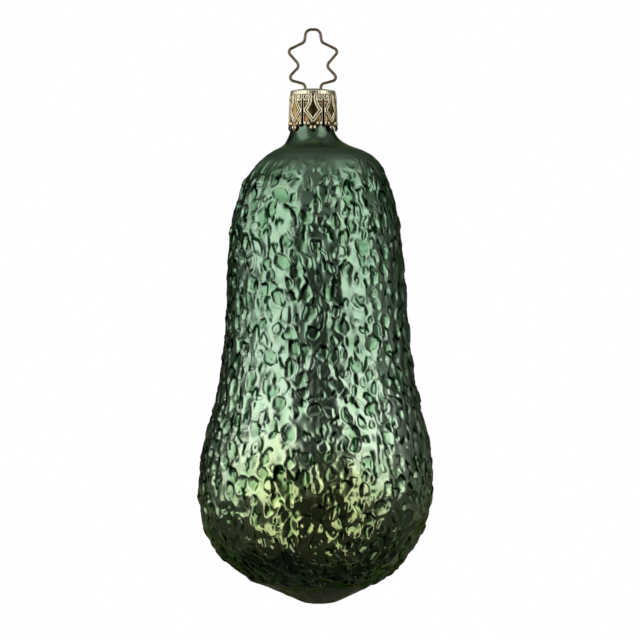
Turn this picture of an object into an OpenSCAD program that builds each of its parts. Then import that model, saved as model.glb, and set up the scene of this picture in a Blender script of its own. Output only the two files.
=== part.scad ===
// Blown-glass avocado ornament, in millimetres: a hollow glass fruit with a dimpled skin, a stamped metal
// cap that slips over its neck, and a spring wire hanger bent to a star. The wire's two legs go through
// the cap and spread inside the neck, which is what holds the glass.
// The origin is the highest point inside the hanger's arch, where a hook bears. +Z is up, and the
// star lies in the XZ plane with one petal of the cap facing -Y.

/* [Hanger wire] */
// Diameter of the spring wire
wire_d = 0.6; // [0.4:0.05:0.75]
// Half width of the arch that a hook bears in, to the wire's centre line
arch_half_w = 1.45; // [1.25:0.05:1.8]
// Half width of the star at the foot of the arch
corner_half_w = 1.8; // [1.6:0.05:2.3]
// Half width of the star at its upper points
upper_half_w = 5.5; // [4.6:0.05:6.5]
// Half width of the star at its waist
waist_half_w = 2.75; // [2.2:0.05:3.4]
// Half width of the star at its lower points
lower_half_w = 5.45; // [4.6:0.05:6.5]
// Distance of each leg from the centre line where it goes through the cap
leg_x = 1.65; // [1.2:0.05:1.8]
// Depth of the arch's foot below its top
corner_drop = 2.65; // [2.4:0.05:3.2]
// Depth of the upper points below the top of the arch
upper_drop = 4.45; // [3.9:0.05:5]
// Depth of the waist below the top of the arch
waist_drop = 7.6; // [6.9:0.05:8.2]
// Depth of the lower points below the top of the arch
lower_drop = 10.45; // [9.6:0.05:10.9]
// Depth below the top of the arch at which the lower arms turn down into the legs
foot_drop = 11.5; // [11.2:0.05:12.6]
// Bend radius at the top of the arch
arch_bend = 1.25; // [0.8:0.05:1.3]
// Bend radius at the foot of the arch
corner_bend = 1; // [0.7:0.05:1.4]
// Bend radius at the four points of the star
point_bend = 0.8; // [0.45:0.05:0.9]
// Bend radius at the waist
waist_bend = 1; // [0.6:0.05:1.3]
// Bend radius where the arms turn down into the legs
foot_bend = 0.9; // [0.6:0.05:1.1]
// Bend radius where the legs spread, and where they turn straight again
leg_bend = 1.5; // [1:0.1:2.5]
// Height of the lower arms' turn above the top of the cap
arm_clear = 0.6; // [0.5:0.05:1.2]
// Depth below the top of the cap at which the legs start to spread
leg_straight = 2.6; // [2.4:0.1:3.6]
// Height over which the legs spread out to the bore of the neck
leg_spread = 3.4; // [2.8:0.1:5]
// Length of the straight ends of the legs along the bore
leg_end_len = 5; // [4:0.1:7]
// Clearance between the legs and the bore of the neck
leg_clear = 0.1; // [0.05:0.01:0.2]

/* [Cap] */
// Thickness of the stamped sheet
sheet_t = 0.25; // [0.15:0.01:0.35]
// Clearance between the neck and the inside of the skirt, at the top
skirt_clear = 0.3; // [0.2:0.05:0.5]
// How much further out the skirt stands at its tips than at its top
skirt_flare = 0.35; // [0.3:0.05:0.6]
// Rise of the domed top above the rolled edge
dome_h = 0.4; // [0.2:0.05:0.8]
// Outside radius of the rolled top edge
roll_r = 0.5; // [0.4:0.05:0.9]
// Height of the cap from the top of the rolled edge to the petals' side lobes
cap_h = 7.6; // [7.2:0.1:9]
// How far the middle lobe of a petal hangs below its side lobes
tongue_len = 1; // [0.5:0.05:1.4]
// Number of petals in the skirt
petal_count = 7; // [6:1:7]
// Depth of the slits' upper ends below the top of the rolled edge
slit_drop = 0.9; // [0.8:0.05:1.5]
// Width of the slits at the top of the skirt
slit_w = 0.16; // [0.1:0.01:0.3]
// Radius of a petal's side lobes
lobe_r = 0.63; // [0.55:0.01:0.7]
// Gap of the cap's underside above the neck's lip
seat_clear = 0.1; // [0.05:0.01:0.3]
// Clearance round each leg in its hole in the cap
hole_clear = 0.15; // [0.05:0.01:0.3]

/* [Embossed pattern] */
// Height of the pattern above the skirt
relief_h = 0.18; // [0.1:0.01:0.3]
// Width of the ridge that draws the scrolls and the lozenge
ridge_w = 0.36; // [0.25:0.01:0.42]
// Width of the ridge along each slit
border_w = 0.18; // [0.12:0.01:0.25]
// Distance of that ridge from the edge of the petal
border_in = 0.04; // [0.02:0.01:0.1]
// Half width of the lozenge, to the middle of its ridge
lozenge_half_w = 1.55; // [1.4:0.01:1.6]
// Depth of the lozenge's side corners below the top of the rolled edge
lozenge_drop = 4.36; // [4:0.02:4.8]
// Height of the lozenge below its side corners
lozenge_low_h = 2.1; // [1.8:0.05:2.3]
// Distance of each scroll's centre from the middle of the petal
scroll_x = 0.97; // [0.9:0.01:1]
// Depth of the scrolls' centres below the top of the rolled edge
scroll_drop = 1.55; // [1.5:0.01:1.8]
// Radius of a scroll, to the middle of its ridge
scroll_r = 0.6; // [0.5:0.01:0.62]
// Diameter of the beads along the lower edge and in the scrolls
bead_d = 0.46; // [0.35:0.01:0.55]
// Distance between the two beads of a lobe
bead_pitch = 0.68; // [0.6:0.01:0.75]

/* [Glass body] */
// Outside diameter of the neck
neck_d = 8.4; // [7.6:0.1:9.6]
// Thickness of the blown wall
glass_wall = 1; // [0.7:0.05:1.2]
// Length of the neck's flare that the cap covers
flare_cover = 3.1; // [2.4:0.1:3.5]
// Depth of the shoulder below the foot of the straight neck
shoulder_drop = 7; // [6.2:0.1:8.5]
// Diameter at the shoulder, where the neck's flare turns over
shoulder_d = 18.4; // [16:0.1:21]
// Slope of the glass at the shoulder, in degrees below level
shoulder_slope = 23; // [12:1:32]
// Depth of the chest below the foot of the straight neck
chest_drop = 34; // [28:0.5:42]
// Diameter at the chest
chest_d = 37.3; // [32:0.1:42]
// Slope of the glass at the chest, in degrees off plumb
chest_slope = 2.4; // [0:0.1:6]
// Length of the glass from the foot of the straight neck to the lowest point
body_len = 102.3; // [90:0.1:118]
// Height of the belly above the lowest point
belly_h = 24.5; // [18:0.5:30]
// Diameter at the belly, the widest place
belly_d = 49.2; // [42:0.1:56]
// Height of the nub under the base
nub_h = 4; // [2.5:0.1:5.5]
// Diameter at which the base turns into the nub
nub_d = 24.2; // [20:0.1:28]
// Slope of the base at the nub, in degrees below level
nub_slope = 22; // [14:1:30]

/* [Dimpled skin] */
// Number of dimples that the mould presses into the skin
dimple_count = 210; // [150:10:260]
// Radius of the ball that each dimple is part of
dimple_r = 2.8; // [2.2:0.1:3.2]
// Depth of a dimple
dimple_depth = 0.34; // [0.2:0.02:0.4]
// Depth of the highest dimple below the shoulder
dimple_from = 8; // [6:0.5:14]
// Height of the lowest dimple above the lowest point
dimple_to = 8.5; // [8:0.5:14]
// How far a dimple may stand off its even place, up or down
dimple_wander = 1; // [0:0.1:1.4]

/* [Hidden] */

// Heights, counted from the hook's bearing point inside the arch
arch_z = wire_d / 2;
cap_top_z = arch_z - foot_drop - wire_d / 2 - arm_clear;
edge_z = cap_top_z - dome_h;
lobe_z = edge_z - cap_h;
tongue_z = lobe_z - tongue_len;
lip_z = edge_z - sheet_t - seat_clear;
neck_foot_z = tongue_z + flare_cover;
low_z = neck_foot_z - body_len;

// Radii that the cap, the neck and the wire's legs share
neck_r = neck_d / 2;
bore_r = neck_r - glass_wall;
skirt_top_r = neck_r + skirt_clear + sheet_t;
leg_end_x = bore_r - wire_d / 2 - leg_clear;

// How finely the curves are drawn
$fn = 96;
wire_sides = 48;
dimple_sides = 24;
curve_steps = 12;
scroll_step = 46;
ogee_steps = 3;
lobe_step = 30;

// A cut that runs right through reaches this far past the surfaces it cuts
past = 1;

// A cubic curve is four points. It leaves a along heading_a and arrives at b along heading_b, and
// fullness says how far it keeps each heading, as shares of the straight distance.
function curve(a, heading_a, b, heading_b, fullness) =
    let (span = norm(b - a))
    [a, a + heading_a * fullness[0] * span, b - heading_b * fullness[1] * span, b];
function curve_point(c, t) =
    pow(1 - t, 3) * c[0] + 3 * pow(1 - t, 2) * t * c[1] + 3 * (1 - t) * t * t * c[2] + pow(t, 3) * c[3];
function curve_slope(c, t) =
    pow(1 - t, 2) * (c[1] - c[0]) + 2 * (1 - t) * t * (c[2] - c[1]) + t * t * (c[3] - c[2]);
function unit(v) = v / norm(v);
function left_of(v) = [-v.y, v.x];
function backwards(points) = [for (i = [len(points) - 1 : -1 : 0]) points[i]];
function mirrored(points) = [for (p = points) [-p.x, p.y]];
function round_points(centre, r, from, step, to) =
    [for (a = [from : step : to]) centre + r * [cos(a), sin(a)]];

// Glass body: the outline runs down the neck's flare, over the shoulder and chest, round the belly and
// in under the base to the nub. The inside follows it at the wall's thickness.
neck_foot = [neck_r, neck_foot_z];
shoulder = [shoulder_d / 2, neck_foot_z - shoulder_drop];
chest = [chest_d / 2, neck_foot_z - chest_drop];
belly = [belly_d / 2, low_z + belly_h];
nub = [nub_d / 2, low_z + nub_h];
lowest = [0, low_z];
down = [0, -1];
shoulder_heading = [cos(shoulder_slope), -sin(shoulder_slope)];
chest_heading = [sin(chest_slope), -cos(chest_slope)];
nub_heading = [-cos(nub_slope), -sin(nub_slope)];
glass_curves = [
    curve(neck_foot, down, shoulder, shoulder_heading, [0.66, 0.2]),
    curve(shoulder, shoulder_heading, chest, chest_heading, [0.3, 0.33]),
    curve(chest, chest_heading, belly, down, [0.75, 0.36]),
    curve(belly, down, nub, nub_heading, [0.29, 0.42]),
    curve(nub, nub_heading, lowest, [-1, 0], [0.8, 0.35])
];
curve_shares = [for (i = [1 : curve_steps]) i / curve_steps];
glass_outside = [for (c = glass_curves) for (t = curve_shares) curve_point(c, t)];
glass_inside = [
    for (c = glass_curves) for (t = curve_shares)
        curve_point(c, t) - glass_wall * left_of(unit(curve_slope(c, t)))
];
lip_r = glass_wall / 2;
lip = round_points([neck_r - lip_r, lip_z - lip_r], lip_r, 180, -30, 0);

// Dimples follow one another round the skin by the golden angle, as the scales of a fruit do. The wander
// takes them off their even places, by angles that repeat only after hundreds of dimples.
golden_angle = 137.508;
wander_angle = 113;
radius_by_height = [for (p = backwards(glass_outside)) [p.y, p.x]];
dimple_top_z = shoulder.y - dimple_from;
dimple_pitch = (dimple_top_z - low_z - dimple_to) / dimple_count;
// Height above and below a dimple between which the skin's lean is taken
lean_reach = 1;
function skin_r(z) = lookup(z, radius_by_height);
function skin_lean(z) = atan((skin_r(z + lean_reach) - skin_r(z - lean_reach)) / (2 * lean_reach));

module dimples() {
    stand_off = dimple_r - dimple_depth;
    for (i = [0 : dimple_count - 1]) {
        z = dimple_top_z - i * dimple_pitch + dimple_wander * sin(i * wander_angle);
        rotate(i * golden_angle)
        translate([skin_r(z) + stand_off * cos(skin_lean(z)), 0, z - stand_off * sin(skin_lean(z))])
        sphere(dimple_r, $fn = dimple_sides);
    }
}

module glass_body() {
    color([0.36, 0.55, 0.41])
    difference() {
        rotate_extrude()
        polygon(concat(lip, [neck_foot], glass_outside, backwards(glass_inside), [[bore_r, neck_foot_z]]));
        dimples();
    }
}

// Cap: one sheet, domed, rolled over at the edge and drawn down into the flared skirt
dome_r = skirt_top_r - roll_r;
roll_centre = [dome_r, edge_z - roll_r];
skirt_end_z = tongue_z - past;
skirt_slope = skirt_flare / (roll_centre.y - tongue_z);
function skirt_r(z) = skirt_top_r + (roll_centre.y - z) * skirt_slope;
function cap_line(inset) = concat(
    [for (i = [0 : curve_steps]) let (t = i / curve_steps) [dome_r * t, cap_top_z - inset - dome_h * t * t]],
    round_points(roll_centre, roll_r - inset, 75, -15, 0),
    [[skirt_r(skirt_end_z) - inset, skirt_end_z]]
);
petal_turn = 360 / petal_count;
petal_half_w = skirt_top_r * sin(petal_turn / 2) - slit_w / 2;
tongue_r = petal_half_w - 2 * lobe_r;
lobe_x = petal_half_w - lobe_r;
slit_z = edge_z - slit_drop;

// Distance in front of the axis at which the patterns of neighbouring petals come clear of each other
pattern_from = petal_half_w / tan(petal_turn / 2) + slit_w / 2;

module around_skirt() {
    for (i = [0 : petal_count - 1])
        rotate(i * petal_turn)
        children();
}

// Raises a flat drawing in x and height to a block that reaches out through the skirt towards -Y,
// from a plane at this distance in front of the axis
module through_skirt(from) {
    translate([0, -from, 0])
    rotate([90, 0, 0])
    linear_extrude(skirt_r(skirt_end_z) + relief_h + past - from)
    children();
}

// A petal ends in two side lobes with a longer one between them
right_lobe = round_points([lobe_x, lobe_z + lobe_r], lobe_r, 0, -lobe_step, -150);
tongue = round_points([0, tongue_z + tongue_r], tongue_r, 0, -lobe_step, -180);

module petal_outline() {
    top = [petal_half_w, slit_z + slit_drop / 2];
    left_side = backwards(mirrored(concat([top], right_lobe)));
    polygon(concat([top], right_lobe, tongue, left_side));
}

// A ridge is a strip along a path, from one distance to another on the path's left
function side_of(path, i) =
    let (before = unit(path[max(i, 1)] - path[max(i, 1) - 1]))
    let (next = min(i + 1, len(path) - 1))
    let (after = unit(path[next] - path[next - 1]))
    let (middle = unit(left_of(before) + left_of(after)))
    middle / (middle * left_of(before));
function strip(path, near, far) = concat(
    [for (i = [0 : len(path) - 1]) path[i] + near * side_of(path, i)],
    backwards([for (i = [0 : len(path) - 1]) path[i] + far * side_of(path, i)])
);

// Half of the pattern: a scroll under the rolled edge runs down the middle, out to the side corner of
// the lozenge, and back in to its foot, just past the middle so that both halves join there.
scroll_centre = [scroll_x, edge_z - scroll_drop];
lozenge_corner = [lozenge_half_w, edge_z - lozenge_drop];
lozenge_foot = [0, lozenge_corner.y - lozenge_low_h];
scroll_start = -50;
ogee_slope = 32;
ogee_heading = [sin(ogee_slope), -cos(ogee_slope)];
ogee = curve(scroll_centre - [scroll_r, 0], down, lozenge_corner, ogee_heading, [0.35, 0.5]);
pattern_line = concat(
    round_points(scroll_centre, scroll_r, scroll_start, scroll_step, 180 - scroll_step / 2),
    [for (i = [0 : ogee_steps]) curve_point(ogee, i / ogee_steps)],
    [lozenge_foot + ridge_w / 2 * unit(lozenge_foot - lozenge_corner)]
);

module bead(place) {
    translate(place)
    circle(d = bead_d, $fn = wire_sides);
}

module half_pattern() {
    polygon(strip(pattern_line, -ridge_w / 2, ridge_w / 2));
    translate([petal_half_w - border_in - border_w, lobe_z + lobe_r])
    square([border_w, slit_z - slit_w - lobe_z - lobe_r]);
    bead(scroll_centre);
    bead([lobe_x - bead_pitch / 2, lobe_z + lobe_r - bead_d / 2]);
    bead([lobe_x + bead_pitch / 2, lobe_z + lobe_r - bead_d / 2]);
    bead([bead_pitch / 2, tongue_z + tongue_r]);
}

module pattern() {
    for (side = [0, 1])
        mirror([side, 0])
        half_pattern();
}

// The layer that the pattern stands in, rooted halfway into the sheet
module relief_layer() {
    top_z = roll_centre.y;
    root = sheet_t / 2;
    rotate_extrude()
    polygon([
        [skirt_r(top_z) - root, top_z],
        [skirt_r(top_z) + relief_h, top_z],
        [skirt_r(tongue_z) + relief_h, tongue_z],
        [skirt_r(tongue_z) - root, tongue_z]
    ]);
}

module cap_sheet() {
    intersection() {
        rotate_extrude()
        polygon(concat(cap_line(0), backwards(cap_line(sheet_t))));
        union() {
            translate([0, 0, slit_z])
            cylinder(r = skirt_top_r + past, h = cap_top_z - slit_z + past);
            around_skirt()
            through_skirt(0)
            petal_outline();
        }
    }
}

module cap() {
    color([0.80, 0.70, 0.46])
    difference() {
        union() {
            cap_sheet();
            around_skirt()
            intersection() {
                relief_layer();
                through_skirt(pattern_from)
                pattern();
            }
        }
        for (side = [-1, 1])
            translate([side * leg_x, 0, edge_z - sheet_t - past])
            cylinder(d = wire_d + 2 * hole_clear, h = dome_h + sheet_t + 2 * past, $fn = wire_sides);
    }
}

// Hanger wire: one half of its path from the top of the arch to the end of a leg, with the bend at each
// corner. The other half is its mirror image.
spread_top_z = cap_top_z - leg_straight;
spread_foot_z = spread_top_z - leg_spread;
half_path = [
    [arch_half_w, arch_z],
    [corner_half_w, arch_z - corner_drop],
    [upper_half_w, arch_z - upper_drop],
    [waist_half_w, arch_z - waist_drop],
    [lower_half_w, arch_z - lower_drop],
    [leg_x, arch_z - foot_drop],
    [leg_x, spread_top_z],
    [leg_end_x, spread_foot_z],
    [leg_end_x, spread_foot_z - leg_end_len]
];
half_bends = [
    arch_bend, corner_bend, point_bend, waist_bend, point_bend, foot_bend, leg_bend, leg_bend, 0
];
wire_path = concat(backwards(mirrored(half_path)), half_path);
wire_bends = concat(backwards(half_bends), half_bends);
function heading(i) = unit(wire_path[i + 1] - wire_path[i]);
function turn_at(i) = acos(heading(i - 1) * heading(i));
function trim_at(i) = wire_bends[i] == 0 ? 0 : wire_bends[i] * tan(turn_at(i) / 2) - seat_in;

// A bend is a hair thicker than the straight wire, whose ends seat inside it
bend_d = wire_d * 1.02;
seat_in = wire_d / 12;

module straight_wire(i) {
    start = wire_path[i] + heading(i) * trim_at(i);
    end = wire_path[i + 1] - heading(i) * trim_at(i + 1);
    translate([start.x, start.y, 0])
    rotate(atan2(heading(i).y, heading(i).x))
    rotate([0, 90, 0])
    cylinder(d = wire_d, h = norm(end - start), $fn = wire_sides);
}

module bent_wire(i) {
    side = sign(cross(heading(i - 1), heading(i)));
    spoke = side * left_of(heading(i - 1));
    centre = wire_path[i] - heading(i - 1) * (trim_at(i) + seat_in) + wire_bends[i] * spoke;
    first_angle = atan2(-spoke.y, -spoke.x);
    translate([centre.x, centre.y, 0])
    rotate(side > 0 ? first_angle : first_angle - turn_at(i))
    rotate_extrude(angle = turn_at(i))
    translate([wire_bends[i], 0])
    circle(d = bend_d, $fn = wire_sides);
}

module hanger_wire() {
    color([0.35, 0.28, 0.20])
    rotate([90, 0, 0])
    union() {
        for (i = [0 : len(wire_path) - 2])
            straight_wire(i);
        for (i = [1 : len(wire_path) - 2])
            bent_wire(i);
    }
}

glass_body();
cap();
hanger_wire();
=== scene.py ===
from math import cos, hypot, pi, radians, sin, sqrt

import bpy
import numpy as np
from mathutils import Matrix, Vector, noise


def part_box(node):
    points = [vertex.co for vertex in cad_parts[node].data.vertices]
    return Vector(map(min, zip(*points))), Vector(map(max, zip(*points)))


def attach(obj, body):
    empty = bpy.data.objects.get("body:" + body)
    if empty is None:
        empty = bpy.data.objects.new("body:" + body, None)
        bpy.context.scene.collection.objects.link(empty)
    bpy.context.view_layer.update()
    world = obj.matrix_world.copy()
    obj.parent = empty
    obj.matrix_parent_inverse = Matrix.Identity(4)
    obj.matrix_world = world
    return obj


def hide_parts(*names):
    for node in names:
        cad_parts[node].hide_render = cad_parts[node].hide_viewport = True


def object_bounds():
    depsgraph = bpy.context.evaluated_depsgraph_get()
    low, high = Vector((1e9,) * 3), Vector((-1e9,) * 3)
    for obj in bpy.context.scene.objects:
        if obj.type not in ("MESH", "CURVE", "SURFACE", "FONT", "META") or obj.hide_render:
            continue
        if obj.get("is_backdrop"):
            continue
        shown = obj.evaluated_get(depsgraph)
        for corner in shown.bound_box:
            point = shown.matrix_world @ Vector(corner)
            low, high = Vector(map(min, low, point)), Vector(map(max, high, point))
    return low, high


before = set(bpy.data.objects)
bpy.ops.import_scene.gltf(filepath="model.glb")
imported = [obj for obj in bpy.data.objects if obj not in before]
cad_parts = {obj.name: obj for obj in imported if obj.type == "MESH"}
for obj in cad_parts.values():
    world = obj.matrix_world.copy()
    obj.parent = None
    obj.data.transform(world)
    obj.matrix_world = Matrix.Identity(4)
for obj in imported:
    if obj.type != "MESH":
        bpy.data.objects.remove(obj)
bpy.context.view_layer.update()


# Camera: it looks level at the ornament from straight in front, and from so far away that there is
# hardly any perspective. The frame is square, with the hanger's arch just under its upper edge.
MM = 0.001
view_width = 134.4 * MM
view_distance = 0.9
view_centre = Vector((1.47 * MM, 0, -60.7 * MM))

camera_data = bpy.data.cameras.new("camera")
camera_data.lens = camera_data.sensor_width * view_distance / view_width
camera = bpy.data.objects.new("camera", camera_data)
camera.location = view_centre - Vector((0, view_distance, 0))
camera.rotation_euler = (radians(90), 0, 0)
bpy.context.scene.collection.objects.link(camera)
bpy.context.scene.camera = camera
bpy.context.scene.view_settings.view_transform = "Standard"


# Glass body: one hollow avocado, blown in a mould whose pebbled wall it keeps as its skin. It is silvered
# inside and sprayed with satin lacquer outside: green, lime low on the front and back, and olive below.
# The mould ends at the shoulder, so the shoulder is smooth, and so is the open neck inside the cap.

# The mesh, in mm as all sizes here: the step between rings, the points round each, and what the CAD
# piece must show to count as a ring
skin_step = 0.31
skin_columns = 440
inner_columns = 44
ring_points = 24
least_ring_gap = 0.04
least_inner_r = 0.05

# Heights where the relief and its dark lines of painted shade start and where they are full, and the
# smooth nub underneath
skin_top = -25.8
skin_full = -29.6
lines_top = -28.0
lines_full = -33.0
nub_below = -60.0
nub_smooth_r = 6.0
nub_full_r = 16.0
nub_least = 0.25

# The mould's dimples, which the CAD piece has too
dimple_count = 210
dimple_depth = 0.34
dimple_reach = 1.34
dimple_top = -33.0
dimple_low = -111.8
dimple_wander = 1.0
golden_angle = 137.508
wander_angle = 113.0
dimple_spread = (0.85, 1.15)
dimple_longest = 1.4
dimple_flat = 0.2

# Pebbles and pits between the dimples
pebble_seed = 11
pebble_tries = 14000
pebble_spacing = 2.6
spacing_spread = (0.8, 1.25)
pebble_least = 0.5
pebble_more = 0.72
pebble_skew = 1.2
pebble_longest = 2.0
pebble_tilt = 0.32
pebble_margin = 2.2
pit_share = 0.6
pebble_heights = (0.2, 0.36)
full_height_from = 0.8

# Flanks, rims and dark outlines of all of them; the outlines are painted shade. Shares of a flank's width
# count outwards from the outline.
pebble_flank = 0.37
flank_spread = (0.8, 1.6)
flank_from = -0.7
flank_to = 0.3
rim_share = 0.35
rim_place = 0.45
rim_half_w = 0.4
outline_darkness = (0.35, 1.05)
outline_place = -0.1
outline_half_w = 0.58
outline_least = 0.2
# Painted shade: each outline is darker on one side, turned much the same way on every pebble
outline_side = (-0.5, 0.8)
dark_side_mean = 2.0
dark_side_spread = 0.9

# Random waves, wide and tall, that bend the outlines, swell the skin, draw creases and vary the painted
# shade
noise_shifts = (7.3, 31.7, 74.9)
bend_waves = (1.5, 1.9)
bend = 0.7
ripple_waves = (0.7, 0.8)
ripple = 0.18
broad_waves = (4.6, 6.5)
broad_swell = 0.1
close_waves = (2.1, 3.1)
close_swell = 0.3
crease_waves = (2.6, 6.2)
crease_turn = 0.2
crease_depth = 0.22
crease_half_w = 0.33
crease_least_slope = 0.06
crease_least_r = 1.0
break_waves = (1.6, 2.3)
break_range = (-0.18, 0.08)
line_shade_waves = (1.8, 1.8)
line_shade_mean = 0.8
line_shade_range = 0.7

# How far the whole skin is sunk, and the base, which is lower still. Its pebbles are calmer, its swells
# larger and its lines of painted shade paler.
sink = 0.08
base_sink = 0.3
base_sink_from = -104.0
base_sink_full = -114.0
base_swell = 0.5
base_calm = 0.1
base_pale = 0.4
base_calm_from = -94.0
base_calm_full = -102.0

# The blown shape isn't quite true: at these heights its middle stands this far to the right of the neck's
sway_heights = [-18.0, -22.6, -25.2, -30.0, -44.0, -62.0, -80.0, -100.0, -110.0, -116.0, -120.3]
sway_to_right = [0.0, 0.05, 1.2, 0.9, 0.5, 0.8, 0.9, 0.4, 0.2, 1.0, 1.3]


def turned_rings(name, outside):
    """Rings of a turned CAD piece's outer or inner wall, in mm: (radius, height) from the top down.

    A ring has many points at one radius and height, which the edges of the dimples don't.
    """
    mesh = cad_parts[name].data
    low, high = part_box(name)
    belly_z = low.z + (high.z - low.z) / 4
    round_points = {}
    for face in mesh.polygons:
        axis_point = Vector((0, 0, max(face.center.z, belly_z)))
        if (face.normal.dot(face.center - axis_point) > 0) == outside:
            for i in face.vertices:
                x, y, z = mesh.vertices[i].co / MM
                ring = (round(hypot(x, y), 2), round(z, 2))
                round_points.setdefault(ring, set()).add((round(x, 1), round(y, 1)))
    rings = [ring for ring, points in round_points.items() if len(points) >= ring_points or ring[0] == 0]
    kept = []
    for ring in sorted(rings, key=lambda ring: (-ring[1], -ring[0])):
        if not kept or hypot(ring[0] - kept[-1][0], ring[1] - kept[-1][1]) > least_ring_gap:
            kept.append(ring)
    return np.array(kept)


def smooth_line(points, step):
    """A smooth curve through points: places a step apart on it, their headings, and the way to each."""
    lengths = np.linalg.norm(np.diff(points, axis=0), axis=1)
    along = np.concatenate([[0], np.cumsum(lengths)])
    slopes = np.gradient(points, along, axis=0)
    wanted = np.linspace(0, along[-1], int(along[-1] / step) + 1)
    i = np.clip(np.searchsorted(along, wanted) - 1, 0, len(along) - 2)
    span = lengths[i][:, None]
    t = ((wanted - along[i]) / lengths[i])[:, None]
    a, b = points[i], points[i + 1]
    slope_a, slope_b = slopes[i] * span, slopes[i + 1] * span
    square = 3 * (b - a) - 2 * slope_a - slope_b
    cube = 2 * (a - b) + slope_a + slope_b
    line = a + t * slope_a + t**2 * square + t**3 * cube
    headings = np.gradient(line, wanted, axis=0)
    return line, headings / np.linalg.norm(headings, axis=1)[:, None], wanted


def ease(value, start, end):
    """0 before start, 1 after end, and a smooth rise between them."""
    t = np.clip((value - start) / (end - start), 0, 1)
    return t * t * (3 - 2 * t)


def bell(distance, half_w):
    """1 on a line, falling smoothly to nothing on both sides of it."""
    return np.exp(-((distance / half_w) ** 2))


glass_line, glass_headings, skin_along = smooth_line(turned_rings("glass_body", True), skin_step)

# The curve ends on the axis, at the lowest point
glass_line[-1, 0] = 0

# The smooth neck and shoulder need only every other ring
needed = (glass_line[:, 1] < skin_top) | (np.arange(len(glass_line)) % 2 == 0)
glass_line, glass_headings, skin_along = glass_line[needed], glass_headings[needed], skin_along[needed]
ring_r, ring_z = glass_line[:, 0], glass_line[:, 1]
ring_out = np.column_stack([-glass_headings[:, 1], glass_headings[:, 0]])
turns = np.arange(skin_columns) * 2 * pi / skin_columns

# Every place on the skin, in mm, before it is pebbled
plain_skin = np.stack([
    ring_r[:, None] * np.cos(turns),
    ring_r[:, None] * np.sin(turns),
    np.repeat(ring_z[:, None], skin_columns, axis=1),
], axis=-1)


def skin_noise(across, along):
    """A field of three smooth random values over the skin, with waves this wide and this tall in mm."""
    places = plain_skin.reshape(-1, 3) / (across, across, along)
    fields = [[noise.noise(place) for place in places + shift] for shift in noise_shifts]
    return np.transpose(fields).reshape(plain_skin.shape)


def mould_dimples():
    """Rows and turns of the mould's dimples, which follow one another by the golden angle."""
    i = np.arange(dimple_count)
    heights = dimple_top + i * (dimple_low - dimple_top) / dimple_count
    heights += dimple_wander * np.sin(np.radians(i * wander_angle))
    rows = np.abs(ring_z[:, None] - heights).argmin(axis=0)
    return rows, np.radians(i * golden_angle) % (2 * pi)


def scatter_pebbles(rng):
    """Rows and turns of all spots on the skin: the mould's dimples, and pebbles strewn between them."""
    dimple_rows, dimple_spins = mould_dimples()
    rows = rng.choice(len(ring_r), size=pebble_tries, p=ring_r / ring_r.sum())
    rows = np.concatenate([dimple_rows, rows])
    spins = np.concatenate([dimple_spins, rng.uniform(0, 2 * pi, pebble_tries)])
    gaps = pebble_spacing * rng.uniform(*spacing_spread, len(rows))
    spots = np.column_stack([ring_r[rows] * np.cos(spins), ring_r[rows] * np.sin(spins), ring_z[rows]])
    kept = list(range(dimple_count))
    for i in range(dimple_count, len(rows)):
        if np.linalg.norm(spots[kept] - spots[i], axis=1).min() > gaps[i]:
            kept.append(i)
    return rows[kept], spins[kept]


class Pebble:
    """One pebble, pit or dimple of the skin. Its size, tilt, height and outline are drawn at random."""

    def __init__(self, rng, is_dimple):
        self.is_dimple = is_dimple
        if is_dimple:
            self.across = dimple_reach * rng.uniform(*dimple_spread)
        else:
            self.across = pebble_least + pebble_more * rng.random() ** pebble_skew
        self.along = self.across * rng.uniform(1.0, dimple_longest if is_dimple else pebble_longest)
        self.tilt = rng.normal(0, pebble_tilt)
        self.is_pit = is_dimple or rng.random() < pit_share
        self.height = dimple_depth
        if not is_dimple:
            self.height = rng.uniform(*pebble_heights) * min(self.across / full_height_from, 1)
        self.outlined = rng.uniform(*outline_darkness)
        self.dark_side = rng.normal(dark_side_mean, dark_side_spread)
        self.flank = pebble_flank * rng.uniform(*flank_spread)

    def laid(self, row, spin, warp):
        """The rows of the skin that it reaches, and its height, its rim and its line of painted shade on
        them.
        """
        reach = int(pebble_margin * self.along / skin_step) + 2
        rows = slice(max(row - reach, 0), row + reach + 1)
        turned = (turns - spin + pi) % (2 * pi) - pi
        u = ring_r[rows, None] * turned + warp[rows, :, 0]
        v = skin_along[rows, None] - skin_along[row] + warp[rows, :, 1]
        wide = (u * cos(self.tilt) + v * sin(self.tilt)) / self.across
        tall = (v * cos(self.tilt) - u * sin(self.tilt)) / self.along
        from_middle = np.hypot(wide, tall)
        outside = (from_middle - 1) * self.across
        height = self.height * (1 - ease(outside, flank_from * self.flank, flank_to * self.flank))
        if self.is_dimple:
            bowl = np.clip(1 - from_middle * from_middle, 0, 1)
            height = dimple_flat * height + (1 - dimple_flat) * self.height * bowl
        rim = rim_share * self.height * bell(outside - rim_place * self.flank, rim_half_w * self.flank)
        facing = ease(np.cos(np.arctan2(-v, u) - self.dark_side), *outline_side)
        one_sided = outline_least + (1 - outline_least) * facing
        from_line = outside - outline_place * self.flank
        line = self.outlined * one_sided * bell(from_line, outline_half_w * self.flank)
        return rows, height, rim, line


def crease_lines(values):
    """1 along the lines where smooth random values pass through 0, which are of one width all over."""
    down = np.gradient(values, skin_along, axis=0)
    around = (np.roll(values, -1, axis=1) - np.roll(values, 1, axis=1)) / 2
    around /= np.maximum(ring_r[:, None], crease_least_r) * 2 * pi / skin_columns
    distance = values / np.maximum(np.hypot(down, around), crease_least_slope)
    return bell(distance, crease_half_w)


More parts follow.
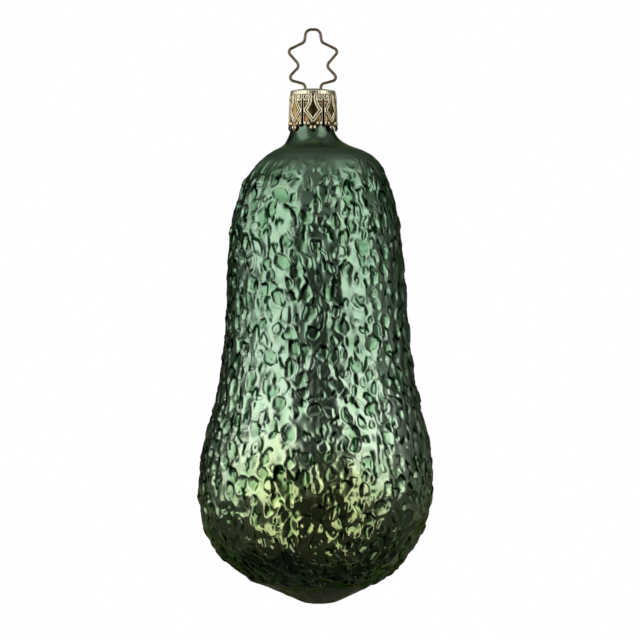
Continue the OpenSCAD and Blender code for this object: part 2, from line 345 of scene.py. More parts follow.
def short_creases():
    """1 along short creases that run mostly up and down the skin, and 0 away from them."""
    veins = skin_noise(*crease_waves)
    creases = np.maximum(
        crease_lines(veins[:, :, 0]) * ease(veins[:, :, 1], 0.0, crease_turn),
        crease_lines(veins[:, :, 2]) * ease(-veins[:, :, 1], 0.0, crease_turn),
    )
    return creases * ease(skin_noise(*break_waves)[:, :, 0], *break_range)


def pebbled_skin():
    """Height of the skin above the plain wall in mm, and how dark the painted shade is there, from 0 to
    over 1.

    Pebbles, pits and dimples with crooked outlines lie on low swells, with short creases between them.
    Shade is painted in the creases and along one side of each outline.
    """
    rng = np.random.default_rng(pebble_seed)
    warp = skin_noise(*bend_waves) * bend + skin_noise(*ripple_waves) * ripple
    raised, sunk, shade_lines = np.zeros((3, *plain_skin.shape[:2]))
    for i, (row, spin) in enumerate(zip(*scatter_pebbles(rng))):
        pebble = Pebble(rng, i < dimple_count)
        rows, height, rim, line = pebble.laid(row, spin, warp)
        if pebble.is_pit:
            sunk[rows] = np.minimum(sunk[rows], -height)
            raised[rows] = np.maximum(raised[rows], rim)
        else:
            raised[rows] = np.maximum(raised[rows], height)
            sunk[rows] = np.minimum(sunk[rows], -rim)
        shade_lines[rows] = np.maximum(shade_lines[rows], line)
    swells = skin_noise(*broad_waves)[:, :, 0] * broad_swell
    swells += skin_noise(*close_waves)[:, :, 2] * close_swell
    creases = short_creases()
    sunk = np.minimum(sunk, -crease_depth * creases)
    # Painted shade in the creases too, darker and lighter at random
    shade_lines = np.maximum(shade_lines, creases)
    shade_lines *= line_shade_mean + line_shade_range * skin_noise(*line_shade_waves)[:, :, 1]
    below_top = ease(-ring_z, -skin_top, -skin_full)
    round_nub = nub_least + (1 - nub_least) * ease(ring_r, nub_smooth_r, nub_full_r)
    off_nub = np.where(ring_z > nub_below, 1.0, round_nub)
    strength = (below_top * off_nub)[:, None]
    lowered = sink + base_sink * ease(-ring_z, -base_sink_from, -base_sink_full)[:, None]
    on_base = ease(-ring_z, -base_calm_from, -base_calm_full)[:, None]
    lined = (off_nub * ease(-ring_z, -lines_top, -lines_full))[:, None] * (1 - base_pale * on_base)
    carved = (1 - base_calm * on_base) * (raised + sunk) + (1 + base_swell * on_base) * swells
    return strength * (carved - lowered), lined * shade_lines


def closed_grid(rows, columns, first=0):
    """Quads between rings of points that close on themselves, listed ring by ring."""
    i = np.arange(columns)
    after = (i + 1) % columns
    quads = []
    for row in range(rows - 1):
        here, below = row * columns, (row + 1) * columns
        quads.append(np.column_stack([here + i, below + i, below + after, here + after]))
    return (np.concatenate(quads) + first).tolist()


def closing_fan(first, tip, columns):
    """Triangles from a ring of points, given its first one, to a tip."""
    return [[first + i, tip, first + (i + 1) % columns] for i in range(columns)]


def new_piece(name, points, faces):
    """A mesh piece from points in mm, shaded smooth."""
    mesh = bpy.data.meshes.new(name)
    mesh.from_pydata((np.asarray(points) * MM).tolist(), [], faces)
    mesh.polygons.foreach_set("use_smooth", [True] * len(mesh.polygons))
    mesh.update()
    piece = bpy.data.objects.new(name, mesh)
    bpy.context.scene.collection.objects.link(piece)
    return piece


def keep_values(piece, name, values):
    """Stores one number for each point of a piece, for its finish to read."""
    attribute = piece.data.attributes.new(name, "FLOAT", "POINT")
    attribute.data.foreach_set("value", np.asarray(values, np.float32).ravel())


def swayed(points):
    """The same points moved to the right by the sway at their heights."""
    line = smooth_line(np.column_stack([sway_heights, sway_to_right]), skin_step)[0]
    shift = np.interp(-points[..., 2], -line[:, 0], line[:, 1])
    return points + shift[..., None] * np.array([1.0, 0.0, 0.0])


skin_height, painted_line_shade = pebbled_skin()
spokes = np.stack([np.cos(turns), np.sin(turns)], axis=-1)
skin_out = np.concatenate([
    ring_out[:, None, :1] * spokes[None],
    np.repeat(ring_out[:, None, 1:], skin_columns, axis=1),
], axis=-1)
skin = swayed(plain_skin + skin_height[..., None] * skin_out)

# The last ring of the outside is its lowest point. The inside follows in coarser rings, from the lip down.
outside_rows = len(ring_r) - 1
outside_points = np.concatenate([skin[:-1].reshape(-1, 3), skin[-1, :1]])
lowest = outside_rows * skin_columns
glass_faces = closed_grid(outside_rows, skin_columns)
glass_faces += closing_fan(lowest - skin_columns, lowest, skin_columns)
outside_faces = len(glass_faces)

inner_rings = turned_rings("glass_body", False)[1:-1]
inner_rings = inner_rings[inner_rings[:, 0] > least_inner_r]
inner_turns = np.arange(inner_columns) * 2 * pi / inner_columns
inner_points = swayed(np.stack([
    inner_rings[:, :1] * np.cos(inner_turns),
    inner_rings[:, :1] * np.sin(inner_turns),
    np.repeat(inner_rings[:, 1:], inner_columns, axis=1),
], axis=-1))
inner_low = inner_points[-1].mean(axis=0)
first_inner = lowest + 1
inside_low = first_inner + inner_points.shape[0] * inner_columns
inner_faces = closed_grid(inner_points.shape[0], inner_columns, first_inner)
inner_faces += closing_fan(inside_low - inner_columns, inside_low, inner_columns)
glass_faces += [face[::-1] for face in inner_faces]

# The lip joins the outside's columns to the inside's, several to one
columns_each = skin_columns // inner_columns
for k in range(inner_columns):
    here, after = first_inner + k, first_inner + (k + 1) % inner_columns
    for i in range(columns_each):
        near = k * columns_each + i
        far = (near + 1) % skin_columns
        glass_faces.append([near, far, here if i < columns_each // 2 else after])
    middle = k * columns_each + columns_each // 2
    glass_faces.append([middle, after, here])

glass_points = np.concatenate([outside_points, inner_points.reshape(-1, 3), [inner_low]])
glass = new_piece("blown_glass", glass_points, glass_faces)

# Each point keeps how high it stands among all points of the skin, 0 to 1, and how dark its painted shade
# is
share_steps = 20
shares = np.linspace(0, 1, share_steps + 1)
skin_share = np.interp(skin_height, np.quantile(skin_height[ring_z < skin_full], shares), shares)
none_inside = np.zeros(len(glass.data.vertices) - len(outside_points))
for name, values in (("skin_height", skin_share), ("painted_line_shade", painted_line_shade)):
    keep_values(glass, name, np.concatenate([values[:-1].ravel(), values[-1, :1], none_inside]))


def srgb(red, green, blue):
    """A colour given as it shows on a screen, 0 to 255, as the shader takes it."""
    values = np.array([red, green, blue]) / 255
    linear = np.where(values <= 0.04045, values / 12.92, ((values + 0.055) / 1.055) ** 2.4)
    return (*linear.tolist(), 1.0)


class Finish:
    """A node material in the making. Each call adds one node, with its settings and its inputs."""

    def __init__(self, name, **values):
        self.material = bpy.data.materials.new(name)
        self.material.use_nodes = True
        self.tree = self.material.node_tree
        self.shader = self.tree.nodes["Principled BSDF"]
        self.show(**values)

    def feed(self, socket, value):
        """Links another node's output to a socket, or sets a constant on it."""
        if isinstance(value, bpy.types.NodeSocket):
            self.tree.links.new(value, socket)
        else:
            socket.default_value = value

    def show(self, **values):
        """Feeds the shader's own sockets, named as in base_color, and gives the material."""
        for name, value in values.items():
            socket = name.replace("_", " ").title().replace("Ior", "IOR")
            self.feed(self.shader.inputs[socket], value)
        return self.material

    def node(self, kind, inputs, **settings):
        node = self.tree.nodes.new("ShaderNode" + kind)
        for setting, value in settings.items():
            setattr(node, setting, value)
        for socket, value in inputs.items():
            self.feed(node.inputs[socket], value)
        return node

    def place(self, stretch=(1, 1, 1)):
        """Places on the piece itself, in mm and stretched, so that they move with it."""
        coordinates = self.node("TexCoord", {}).outputs["Object"]
        inputs = {"Vector": coordinates, "Scale": [s / MM for s in stretch]}
        return self.node("Mapping", inputs).outputs["Vector"]

    def stored(self, name):
        """The number that is kept at each point of the piece under a name."""
        return self.node("Attribute", {}, attribute_name=name).outputs["Fac"]

    def maths(self, operation, *values):
        """One calculation with up to three values."""
        return self.node("Math", dict(enumerate(values)), operation=operation).outputs["Value"]

    def noise(self, place, scale, detail=3.0, roughness=0.5):
        """Clouds, most of whose values lie in cloud_range."""
        inputs = {"Vector": place, "Scale": scale, "Detail": detail, "Roughness": roughness}
        return self.node("TexNoise", inputs).outputs["Fac"]

    def fit(self, value, before, after):
        """A value carried over from one range to another, and held at its ends."""
        inputs = {"Value": value}
        inputs |= {"From Min": before[0], "From Max": before[1]}
        inputs |= {"To Min": after[0], "To Max": after[1]}
        return self.node("MapRange", inputs).outputs["Result"]

    def blend(self, share, first, second, how="MIX"):
        """The second colour laid over the first, for a share of it."""
        node = self.node("Mix", {}, data_type="RGBA", blend_type=how)
        for socket, value in ((0, share), (6, first), (7, second)):
            self.feed(node.inputs[socket], value)
        return node.outputs[2]

    def ramp(self, value, stops):
        """A colour that runs from stop to stop as the value rises."""
        node = self.node("ValToRGB", {"Fac": value})
        elements = node.color_ramp.elements
        while len(elements) < len(stops):
            elements.new(1.0)
        for element, (position, colour) in zip(elements, stops):
            element.position = position
            element.color = srgb(*colour)
        return node.outputs["Color"]

    def bump(self, height, depth):
        """A grain this deep in mm, too fine for the mesh."""
        return self.node("Bump", {"Height": height, "Distance": depth * MM}).outputs["Normal"]


# The lacquer's colours, each at its height, and the lime that is sprayed over them on the front and back
white = (255, 255, 255)
black = (0, 0, 0)
edge_glint = (136, 134, 122)
spray_low = -120.3
spray_high = -12.8
spray_wander = 14.0
spray_stretch = (1, 1, 0.6)
spray_colours = [
    (-118, (126, 130, 118)),
    (-110, (124, 134, 110)),
    (-103, (146, 162, 126)),
    (-96, (186, 208, 168)),
    (-88, (192, 214, 184)),
    (-78, (184, 208, 182)),
    (-60, (156, 186, 159)),
    (-33, (146, 179, 150)),
    (-27, (102, 124, 102)),
    (-17, (118, 146, 122)),
    (-15.5, (196, 200, 196)),
]
lime = (206, 220, 150)
lime_heights = [(-113, black), (-105, white), (-98, white), (-86, black)]
lime_half_w = (6.0, 18.0)
# Painted shade, darker the lower the skin lies
painted_dip_shade = [(0.04, (184, 214, 190)), (0.3, (228, 242, 230)), (0.6, white)]
# Painted shade along the outlines and in the creases
painted_line_colours = [(0.1, white), (0.52, (42, 72, 50))]

# Its roughness: satin all over, glossier on the base, and matt where it lies thick on the shoulder
satin = (0.15, 0.22)
base_gloss = (-0.1, 0.0)
base_gloss_heights = (-104.0, -94.0)
shoulder_z = -26.8
shoulder_half_w = (1.5, 4.2)
shoulder_matt = (0.28, 0.0)
grain_depth = 0.012
cloud_range = (0.3, 0.7)


def at_heights(stops):
    """Stops of a ramp, given at heights, as shares of the sprayed height."""
    return [((z - spray_low) / (spray_high - spray_low), colour) for z, colour in stops]


def lacquer_finish():
    """Satin lacquer over silver, sprayed in bands that run into each other, with painted shade in the dips
    and along the outlines and creases.
    """
    finish = Finish("green_lacquer", metallic=1.0, specular_tint=srgb(*edge_glint))
    place = finish.place()
    parted = finish.node("SeparateXYZ", {"Vector": place})
    height = parted.outputs["Z"]
    cloud = finish.noise(finish.place(spray_stretch), scale=0.11, detail=2.0)
    wandered = finish.maths("MULTIPLY_ADD", cloud, spray_wander, height)
    band = finish.fit(wandered, (spray_low + spray_wander / 2, spray_high + spray_wander / 2), (0.0, 1.0))
    spray = finish.ramp(band, at_heights(spray_colours))
    facing = finish.fit(finish.maths("ABSOLUTE", parted.outputs["X"]), lime_half_w, (1.0, 0.0))
    lime_share = finish.maths("MULTIPLY", facing, finish.ramp(band, at_heights(lime_heights)))
    spray = finish.blend(lime_share, spray, srgb(*lime))
    # Painted shade in the dips
    dips = finish.ramp(finish.stored("skin_height"), painted_dip_shade)
    # Painted shade along the outlines and in the creases
    outlines = finish.ramp(finish.stored("painted_line_shade"), painted_line_colours)
    colour = finish.blend(1.0, finish.blend(1.0, spray, dips, "MULTIPLY"), outlines, "MULTIPLY")
    off_shoulder = finish.maths("ABSOLUTE", finish.maths("SUBTRACT", height, shoulder_z))
    thick = finish.fit(off_shoulder, shoulder_half_w, shoulder_matt)
    sheen = finish.fit(finish.noise(place, scale=0.5), cloud_range, satin)
    sheen = finish.maths("ADD", sheen, finish.fit(height, base_gloss_heights, base_gloss))
    grain = finish.noise(place, scale=6.0, detail=4.0, roughness=0.6)
    return finish.show(
        base_color=colour,
        roughness=finish.maths("ADD", thick, sheen),
        normal=finish.bump(grain, grain_depth),
    )


silver_colours = [(0.3, (150, 148, 140)), (0.65, (222, 224, 222))]
silver_roughness = (0.3, 0.12)


def silver_finish():
    """The mirror coat inside the glass, clouded here and there."""
    finish = Finish("silvered_inside", metallic=1.0)
    cloud = finish.noise(finish.place(), scale=0.3, detail=4.0, roughness=0.6)
    return finish.show(
        base_color=finish.ramp(cloud, silver_colours),
        roughness=finish.fit(cloud, cloud_range, silver_roughness),
    )


glass.data.materials.append(lacquer_finish())
glass.data.materials.append(silver_finish())
is_inside = [0] * outside_faces + [1] * (len(glass_faces) - outside_faces)
glass.data.polygons.foreach_set("material_index", is_inside)
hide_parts("glass_body")
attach(glass, "glass")


# Cap: one stamping of thin gold-toned sheet, domed, rolled over at the edge and drawn down into a skirt
# that is slit into seven petals. Scrolls, lozenges and beads are embossed in it and darkened in their
# recesses. It slips over the neck and hangs from the wire, whose legs go through its two holes.
sheet = 0.25
relief = 0.18
dome_rise = 0.4
roll_r = 0.5
roll_angle = 78.0
skirt_top_r = 4.75
skirt_flare = 0.35
petal_count = 7
slit_w = 0.16
slit_drop = 1.3
lobe_r = 0.63
tongue_len = 1.0
hole_x = 1.65
hole_r = 0.45
flutes_each = 7
flute_h = 0.05

# Its mesh
petal_columns = 48
petal_rows = 84
dome_rings = 40
roll_rings = 14
neck_rings = 3
crease_reach = 3

# The embossing, in mm across a petal and down from the cap's top. Its heights are shares of the relief.
scroll_centre = (1.12, -1.92)
scroll_ridge_r = 0.58
scroll_angles = (-70, 180)
scroll_points = 40
lozenge_corner = (1.55, -4.72)
lozenge_foot = (0.0, -6.95)
ogee_lean = 32.0
ogee_start_hold = 0.35
ogee_end_hold = 0.5
ogee_points = 30
foot_points = 24
pair_half_gap = 0.225
ridge_half_w = 0.165
border_in = 0.13
border_half_w = 0.11
border_overlap = 0.2
bead_half_w = 0.26
bead_half_h = 0.4
bead_rise = 1.3
side_beads = (0.98, 1.7)
side_bead_up = 0.14
tongue_bead = 0.42
tongue_bead_up = 0.3
eye_r = 0.22
eye_rise = 1.1

cap_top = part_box("cap")[1].z / MM
tongue_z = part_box("cap")[0].z / MM
lobe_z = tongue_z + tongue_len
slit_z = cap_top - slit_drop
dome_r = skirt_top_r - roll_r
roll_z = cap_top - dome_rise - roll_r
petal_turn = 2 * pi / petal_count
petal_half_w = skirt_top_r * sin(petal_turn / 2) - slit_w / 2
lobe_x = petal_half_w - lobe_r
tongue_r = petal_half_w - 2 * lobe_r


def skirt_r(z):
    """Radius of the skirt's outside at a height."""
    return skirt_top_r + skirt_flare * (roll_z - z) / (roll_z - tongue_z)


def petal_end(x):
    """Height of a petal's lower edge: two side lobes and a longer tongue between them."""
    x = abs(x)
    if x <= tongue_r:
        return tongue_z + tongue_r - sqrt(tongue_r**2 - x**2)
    return lobe_z + lobe_r - sqrt(max(lobe_r**2 - (x - lobe_x) ** 2, 0))


def crown_line():
    """Rings from the dome's middle over the rolled edge to the top of the slits.

    Each has its radius, its height, how far its sheet faces out and up, and its place across a band of
    flutes, which starts at 0 and ends at 1.
    """
    rings = []
    for i in range(1, dome_rings + 1):
        t = i / dome_rings
        steep = 2 * dome_rise * t / dome_r
        length = hypot(steep, 1)
        rings.append((dome_r * t, cap_top - dome_rise * t * t, steep / length, 1 / length, 0.0))
    for i in range(1, roll_rings + 1):
        t = i / roll_rings
        a = radians(roll_angle) * (1 - t)
        rings.append((dome_r + roll_r * cos(a), roll_z + roll_r * sin(a), cos(a), sin(a), t))
    for i in range(1, neck_rings + 1):
        t = i / neck_rings
        z = roll_z + (slit_z - roll_z) * i / neck_rings
        rings.append((skirt_r(z), z, 1.0, 0.0, 1 - t))
    return rings


def embossing_line():
    """Half of a petal's drawing: a scroll, a bent line to the lozenge's corner, and one in to its foot."""
    scroll = [
        (scroll_centre[0] + scroll_ridge_r * cos(a), scroll_centre[1] + scroll_ridge_r * sin(a))
        for a in np.radians(np.linspace(*scroll_angles, scroll_points))
    ]
    start, corner = np.array(scroll[-1]), np.array(lozenge_corner)
    reach = np.linalg.norm(corner - start)
    lean = np.array([sin(radians(ogee_lean)), -cos(radians(ogee_lean))])
    hold_start = start + ogee_start_hold * reach * np.array([0, -1])
    hold_corner = corner - ogee_end_hold * reach * lean
    ogee = [
        (1 - t) ** 3 * start + 3 * (1 - t) ** 2 * t * hold_start
        + 3 * (1 - t) * t * t * hold_corner + t**3 * corner
        for t in np.linspace(0, 1, ogee_points)[1:]
    ]
    foot = [corner + (np.array(lozenge_foot) - corner) * t for t in np.linspace(0, 1, foot_points)[1:]]
    return np.array([*scroll, *ogee, *foot])


def ridge(distance, half_w):
    """Round-topped ridge, 1 on its middle line and 0 at its edges."""
    return np.sqrt(np.clip(1 - (distance / half_w) ** 2, 0, 1))


def embossing(x, z):
    """Height of the pattern, as a share of the relief, at a place across the petal and at a height."""
    side, drop = np.abs(x), z - cap_top
    line = embossing_line()
    gaps = np.hypot(side[..., None] - line[:, 0], drop[..., None] - line[:, 1]).min(axis=-1)
    height = ridge(gaps - pair_half_gap, ridge_half_w)
    upright = ridge(petal_half_w - border_in - side, border_half_w)
    height = np.maximum(height, upright * (z > lobe_z + lobe_r - border_overlap))
    beads = [(bead_x, lobe_z + bead_half_h + side_bead_up) for bead_x in side_beads]
    beads.append((tongue_bead, tongue_z + bead_half_h + tongue_bead_up))
    for bead_x, bead_z in beads:
        from_bead = np.hypot((side - bead_x) / bead_half_w, (z - bead_z) / bead_half_h)
        height = np.maximum(height, bead_rise * ridge(from_bead, 1))
    from_eye = np.hypot(side - scroll_centre[0], drop - scroll_centre[1])
    return np.maximum(height, eye_rise * ridge(from_eye, eye_r))


def ring_at(radius, spins, z):
    """Points at a radius and a height, one for each spin round the axis."""
    heights = np.broadcast_to(z, spins.shape)
    return np.column_stack([radius * np.cos(spins), radius * np.sin(spins), heights])


# The crown's rings and the petals' rows share their columns, with one empty column at each slit
across = np.linspace(-petal_half_w, petal_half_w, petal_columns + 1)
petal_middles = np.arange(petal_count) * petal_turn - pi / 2
crown_turns = (petal_middles[:, None] + np.arcsin(across / skirt_r(slit_z))).ravel()
flute_waves = np.abs(np.sin(crown_turns * petal_count * flutes_each / 2))
cap_columns = len(crown_turns)
plain, out, lift = [], [], []
for radius, z, lean_out, lean_up, fluted in crown_line():
    plain.append(ring_at(radius, crown_turns, z))
    out.append(ring_at(lean_out, crown_turns, lean_up))
    lift.append(flute_h * sin(pi * fluted) * flute_waves)
crown_count = len(plain)
ends = np.tile([petal_end(x) for x in across], petal_count)
xs = np.tile(across, petal_count)
for row in range(1, petal_rows + 1):
    z = slit_z + (ends - slit_z) * row / petal_rows
    spins = np.repeat(petal_middles, petal_columns + 1) + np.arcsin(xs / skirt_r(z))
    plain.append(ring_at(skirt_r(z), spins, z))
    out.append(ring_at(1.0, spins, 0.0))
    lift.append(relief * embossing(xs, z))
plain, out, lift = np.array(plain), np.array(out), np.array(lift)

sheet_faces = closed_grid(crown_count, cap_columns)
for row in range(crown_count - 1, crown_count + petal_rows - 1):
    for petal in range(petal_count):
        for j in range(petal_columns):
            near = row * cap_columns + petal * (petal_columns + 1) + j
            sheet_faces.append([near, near + cap_columns, near + cap_columns + 1, near + 1])
sheet_top = len(plain) * cap_columns
sheet_faces += [[sheet_top, i, (i + 1) % cap_columns] for i in range(cap_columns)]

# Patina stays where the sheet lies lower than what is round it
steps = range(-crease_reach, crease_reach + 1)
near_by = [np.roll(lift, (i, j), (0, 1)) for i in steps for j in steps]
creases = np.clip((np.mean(near_by, axis=0) - lift) / relief, 0, 1)
creases[:crown_count] = 0
creases = np.concatenate([creases.ravel(), [0]])
plain = np.concatenate([plain.reshape(-1, 3), [[0, 0, cap_top]]])
out = np.concatenate([out.reshape(-1, 3), [[0, 0, 1]]])
lift = np.concatenate([lift.ravel(), [0]])


def open_hole(x):
    """Takes the sheet away round a leg of the wire and draws the edge that is left to a circle."""
    middle = np.array([x, 0])
    on_dome = plain[:, 2] > roll_z
    inside = [
        on_dome[face].all() and np.linalg.norm(plain[face, :2].mean(axis=0) - middle) < hole_r
        for face in sheet_faces
    ]
    cut = {i for face, gone in zip(sheet_faces, inside) if gone for i in face}
    kept = [face for face, gone in zip(sheet_faces, inside) if not gone]
    edge = cut & {i for face in kept for i in face}
    for i in edge:
        spoke = plain[i, :2] - middle
        plain[i, :2] = middle + spoke * hole_r / np.linalg.norm(spoke)
    return kept


for side in (-1, 1):
    sheet_faces = open_hole(side * hole_x)


def thick_sheet(name, outer, inner, faces):
    """A sheet between two matching surfaces, closed along every free edge, and the points that it uses."""
    used = sorted({i for face in faces for i in face})
    number = {old: new for new, old in enumerate(used)}
    faces = [[number[i] for i in face] for face in faces]
    edges = {(a, b) for face in faces for a, b in zip(face, face[1:] + face[:1])}
    count = len(used)
    walls = [[b, a, a + count, b + count] for a, b in edges if (b, a) not in edges]
    backs = [[i + count for i in face[::-1]] for face in faces]
    return new_piece(name, np.concatenate([outer[used], inner[used]]), faces + backs + sorted(walls)), used


# The crown is lit with painted highlight and glossy like a low ridge, and the back of the sheet is dull
# and dark with patina
crown_share = 0.75
back_share = 0.3
back_patina = 0.5
cap, cap_used = thick_sheet("stamped_cap", plain + lift[:, None] * out, plain - sheet * out, sheet_faces)
is_petal = np.arange(len(lift)) >= crown_count * cap_columns
relief_share = np.where(is_petal, lift / relief, crown_share + (1 - crown_share) * lift / flute_h)
relief_share[-1] = crown_share
on_back = np.ones(len(cap_used))
keep_values(cap, "relief_share", np.concatenate([relief_share[cap_used], back_share * on_back]))
keep_values(cap, "crease", np.concatenate([creases[cap_used], back_patina * on_back]))

# Gold, lightened by painted highlight where the sheet stands higher
gold_and_highlight_colours = [
    (0.1, (158, 130, 80)),
    (0.3, (204, 178, 118)),
    (0.7, (252, 234, 178)),
    (1.0, (255, 247, 212)),
]
patina_colours = [(0.04, white), (0.26, (80, 54, 27))]
grime_share = 0.35
worn_range = (0.15, 0.9)
gold_roughness = (0.13, 0.28)


def stamped_gold_finish():
    """Gold-toned sheet, with painted highlights on the ridges and beads and dark brown patina left in the
    recesses.
    """
    finish = Finish("stamped_gold", metallic=1.0)
    place = finish.place()
    grime = finish.noise(place, scale=1.4, detail=2.0)
    raised = finish.maths("MULTIPLY_ADD", grime, grime_share, finish.stored("relief_share"))
    gold = finish.ramp(raised, gold_and_highlight_colours)
    patina = finish.ramp(finish.stored("crease"), patina_colours)
    return finish.show(
        base_color=finish.blend(1.0, gold, patina, "MULTIPLY"),
        roughness=finish.fit(raised, worn_range, gold_roughness),
        normal=finish.bump(finish.noise(place, scale=3.0), depth=0.006),
    )


cap.data.materials.append(stamped_gold_finish())
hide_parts("cap")
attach(cap, "cap")


# Hanger wire: one length of round spring wire, bent to a star with an arch for the hook. Its legs go
# through the cap and spread inside the neck. The brass is brown with age and worn lighter in patches.
wire_colours = [(0.3, (118, 107, 88)), (0.55, (140, 127, 102)), (0.75, (176, 161, 130))]
rubbed_range = (0.35, 0.7)
wire_roughness = (0.42, 0.3)


def antique_wire_finish():
    """Browned brass with a fine grain and lighter, rubbed patches."""
    finish = Finish("antique_brass", metallic=1.0)
    place = finish.place()
    rubbed = finish.noise(place, scale=0.55, detail=4.0, roughness=0.55)
    return finish.show(
        base_color=finish.ramp(rubbed, wire_colours),
        roughness=finish.fit(rubbed, rubbed_range, wire_roughness),
        normal=finish.bump(finish.noise(place, scale=5.0, detail=2.0), depth=0.004),
    )


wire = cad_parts["hanger_wire"]
wire.data.materials.clear()
wire.data.materials.append(antique_wire_finish())


# Studio: the ornament hangs in a white room over a pale floor, between two soft lamps. Cards of several
# greys stand close round it, hidden from the camera, with openings between them, so that its mirror skin
# shows a dark middle and dark edges beside two bright windows.
floor_drop = 160.0
floor_r = 1200.0
floor_turn_step = 5
floor_colours = [(0.3, (228, 228, 226)), (0.7, (236, 236, 234))]
floor_fade = (500, 1000)
floor_glow = (0.45, 1.0)
fill_strength = 0.55
flag_r = 150.0
flag_middle = Vector((0, 0, -62.0))
flag_step = 6.0

# For each card: its turns from the camera to the right and its rises, in degrees, and its greys at the
# first and the last turn
flags = {
    "flag_front": ((3, 7), (-16, 36), (62, 62)),
    "flag_front_left": ((-24, 3), (-16, 36), (216, 62)),
    "flag_front_right": ((7, 32), (-16, 36), (62, 216)),
    "flag_side_left": ((-122, -92), (-20, 2), (100, 205)),
    "flag_bar_left": ((-122, -73), (2, 16), (100, 205)),
    "flag_high_left": ((-122, -94), (27, 46), (100, 205)),
    "flag_side_right": ((70, 116), (-20, 46), (205, 124)),
    "flag_left": ((-150, -122), (-16, 46), (100, 100)),
    "flag_right": ((116, 150), (-16, 46), (124, 124)),
    "flag_back_right": ((150, 160), (-16, 46), (116, 116)),
    "flag_back": ((175, 185), (-16, 46), (84, 84)),
    "flag_back_left": ((200, 210), (-16, 46), (116, 116)),
    "flag_low_back": ((116, 238), (-46, -16), (205, 205)),
    "flag_above_front": ((-32, 36), (36, 72), (188, 188)),
    "flag_above_back": ((84, 272), (46, 72), (188, 188)),
    "flag_top": ((-180, 180), (72, 88), (188, 188)),
    "flag_below_front": ((-26, 28), (-54, -16), (58, 58)),
    "flag_below_left": ((-122, -42), (-54, -20), (112, 104)),
    "flag_below_right": ((42, 116), (-54, -20), (96, 116)),
    "flag_bottom": ((-122, 116), (-88, -54), (72, 72)),
    "flag_below_back": ((116, 238), (-62, -46), (205, 205)),
    "flag_bottom_back": ((116, 238), (-88, -62), (132, 132)),
}


def flag_cloth():
    """Matt cloth, woven fine enough to look even, in the grey that is stored for each point of a card."""
    finish = Finish("flag_cloth", roughness=0.95, specular_ior_level=0.1)
    weave = finish.noise(finish.place(), scale=0.4)
    shade = finish.ramp(weave, [(0.3, (244, 244, 244)), (0.7, white)])
    return finish.show(base_color=finish.blend(1.0, finish.stored("grey"), shade, "MULTIPLY"))


def way_to(turn, rise):
    """The direction from the ornament at a turn from the camera to the right and a rise, in radians."""
    return (cos(rise) * sin(turn), -cos(rise) * cos(turn), sin(rise))


def flag(name, cloth, turn_range, rise_range, greys):
    """A card bent to part of a ball round the ornament. Its grey runs from its first turn to its last."""
    turn_count, rise_count = (int((b - a) / flag_step) + 2 for a, b in (turn_range, rise_range))
    turns_across = np.radians(np.linspace(*turn_range, turn_count))
    rises = np.radians(np.linspace(*rise_range, rise_count))
    points = [way_to(turn, rise) for rise in rises for turn in turns_across]
    corners = [r * turn_count + i for r in range(rise_count - 1) for i in range(turn_count - 1)]
    faces = [[c, c + 1, c + turn_count + 1, c + turn_count] for c in corners]
    card = new_piece(name, np.array(points) * flag_r + np.array(flag_middle), faces)
    row_greys = [srgb(g, g, g)[0] for g in np.linspace(*greys, turn_count)]
    keep_values(card, "grey", np.tile(row_greys, rise_count))
    card.data.materials.append(cloth)
    card.visible_camera = False
    card.visible_shadow = False
    card.visible_diffuse = False
    card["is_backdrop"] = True


cloth = flag_cloth()
for name, ranges in flags.items():
    flag(name, cloth, *ranges)


def shown_rays(tree):
    """1 for rays from the camera, a mirror or clear glass, which are to see white, and 0 for the light."""
    path = tree.nodes.new("ShaderNodeLightPath")
    either = path.outputs["Is Camera Ray"]
    for kind in ("Is Glossy Ray", "Is Transmission Ray"):
        larger = tree.nodes.new("ShaderNodeMath")
        larger.operation = "MAXIMUM"
        tree.links.new(either, larger.inputs[0])
        tree.links.new(path.outputs[kind], larger.inputs[1])
        either = larger.outputs["Value"]
    return either


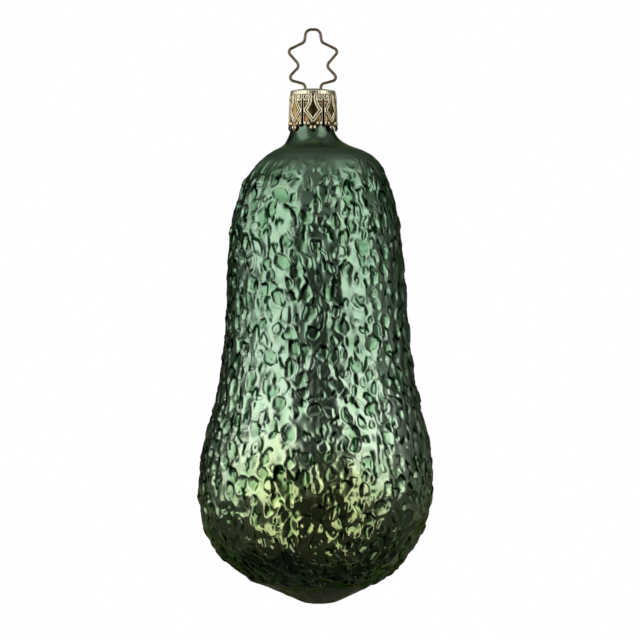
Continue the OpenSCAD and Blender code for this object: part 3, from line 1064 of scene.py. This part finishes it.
def floor_finish():
    """Pale floor that keeps the shadow and runs out into the white of the room."""
    finish = Finish("pale_floor", roughness=0.9, specular_ior_level=0.2, emission_color=srgb(*white))
    place = finish.place()
    away = finish.node("VectorMath", {0: place}, operation="LENGTH").outputs["Value"]
    tone = finish.ramp(finish.noise(place, scale=0.004, detail=2.0), floor_colours)
    faded = finish.fit(away, floor_fade, (0.0, 1.0))
    glow = finish.fit(faded, (0, 1), floor_glow)
    return finish.show(
        base_color=finish.blend(faded, tone, srgb(*black)),
        emission_strength=finish.maths("MULTIPLY", glow, shown_rays(finish.tree)),
    )


floor_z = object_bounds()[0][2] / MM - floor_drop
floor_turns = np.radians(np.arange(0, 360, floor_turn_step))
floor_points = [(floor_r * cos(a), floor_r * sin(a), floor_z) for a in floor_turns]
floor = new_piece("floor", floor_points, [list(range(len(floor_turns)))])
floor.data.materials.append(floor_finish())
floor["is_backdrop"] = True


def soft_lamp(name, turn, rise, distance, width, height, power):
    """A soft lamp that faces the ornament. Its turn and rise are in degrees and its sizes in metres."""
    lamp_data = bpy.data.lights.new(name, "AREA")
    lamp_data.shape = "RECTANGLE"
    lamp_data.size = width
    lamp_data.size_y = height
    lamp_data.energy = power
    lamp = bpy.data.objects.new(name, lamp_data)
    way = Vector(way_to(radians(turn), radians(rise)))
    lamp.location = flag_middle * MM + way * distance
    lamp.rotation_euler = way.to_track_quat("Z", "Y").to_euler()
    bpy.context.scene.collection.objects.link(lamp)


soft_lamp("lamp_left", turn=-58, rise=16, distance=0.8, width=0.6, height=0.5, power=0.42)
soft_lamp("lamp_right", turn=58, rise=24, distance=0.8, width=0.5, height=0.5, power=0.38)

world = bpy.data.worlds.new("white_room")
bpy.context.scene.world = world
world.use_nodes = True
room = world.node_tree
seen = room.nodes.new("ShaderNodeBackground")
seen.inputs["Color"].default_value = (1, 1, 1, 1)
fill = room.nodes["Background"]
fill.inputs["Color"].default_value = (1, 1, 1, 1)
fill.inputs["Strength"].default_value = fill_strength
choice = room.nodes.new("ShaderNodeMixShader")
room.links.new(shown_rays(room), choice.inputs["Fac"])
room.links.new(fill.outputs["Background"], choice.inputs[1])
room.links.new(seen.outputs["Background"], choice.inputs[2])
room.links.new(choice.outputs["Shader"], room.nodes["World Output"].inputs["Surface"])
